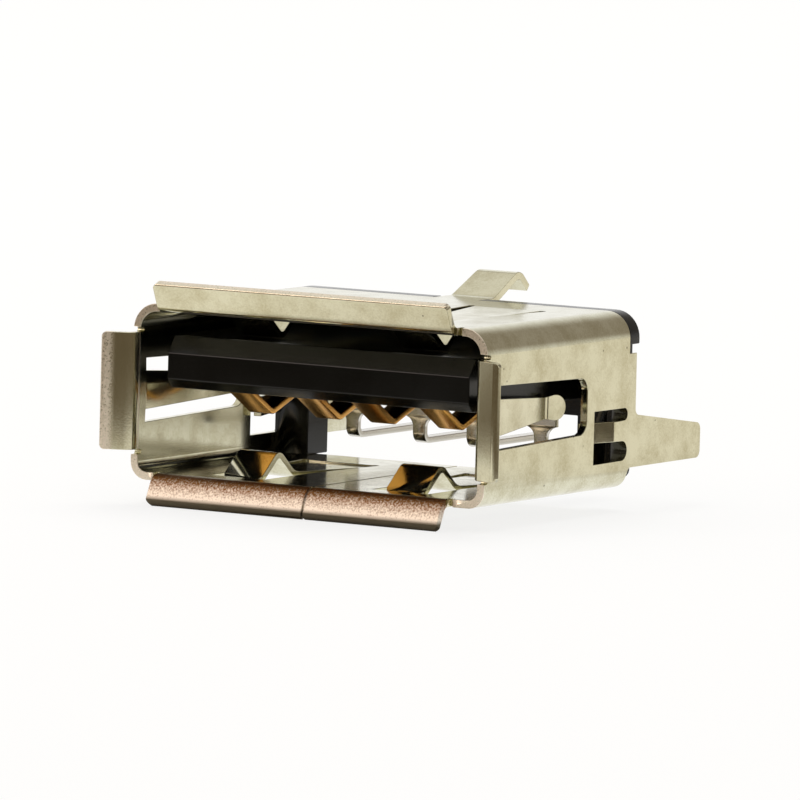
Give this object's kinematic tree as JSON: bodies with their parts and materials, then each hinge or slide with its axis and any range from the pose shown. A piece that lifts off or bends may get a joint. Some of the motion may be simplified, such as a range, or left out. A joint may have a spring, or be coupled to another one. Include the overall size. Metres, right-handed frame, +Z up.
{
  "type": "usb-a socket",
  "caption": "Upright board socket for a flat USB-A plug: folded metal shell with flared lips, wall springs and legs, black tongue, gilt spring contacts.",
  "frame": {"origin": "centre of the mouth, on the plane of the front ends of the shell's corners", "axes": "+Z up, towards the wall that carries the tongue's narrow gap; -Y out of the mouth, the way the plug leaves; +X to the right seen from the front"},
  "size_m": [0.0146, 0.0143, 0.0072],
  "materials": {
    "plated_sheet": "nickel-plated rolled sheet, bright on the faces, duller on cut edges",
    "black_plastic": "moulded, glass-filled, satin",
    "gilt_contact": "gold-plated stamped strip"
  },
  "bodies": {
    "root": {"shell": "plated_sheet", "insulator": "black_plastic", "contact_left_outer": "gilt_contact", "contact_left_inner": "gilt_contact", "contact_right_inner": "gilt_contact", "contact_right_outer": "gilt_contact"}
  },
  "joints": []
}
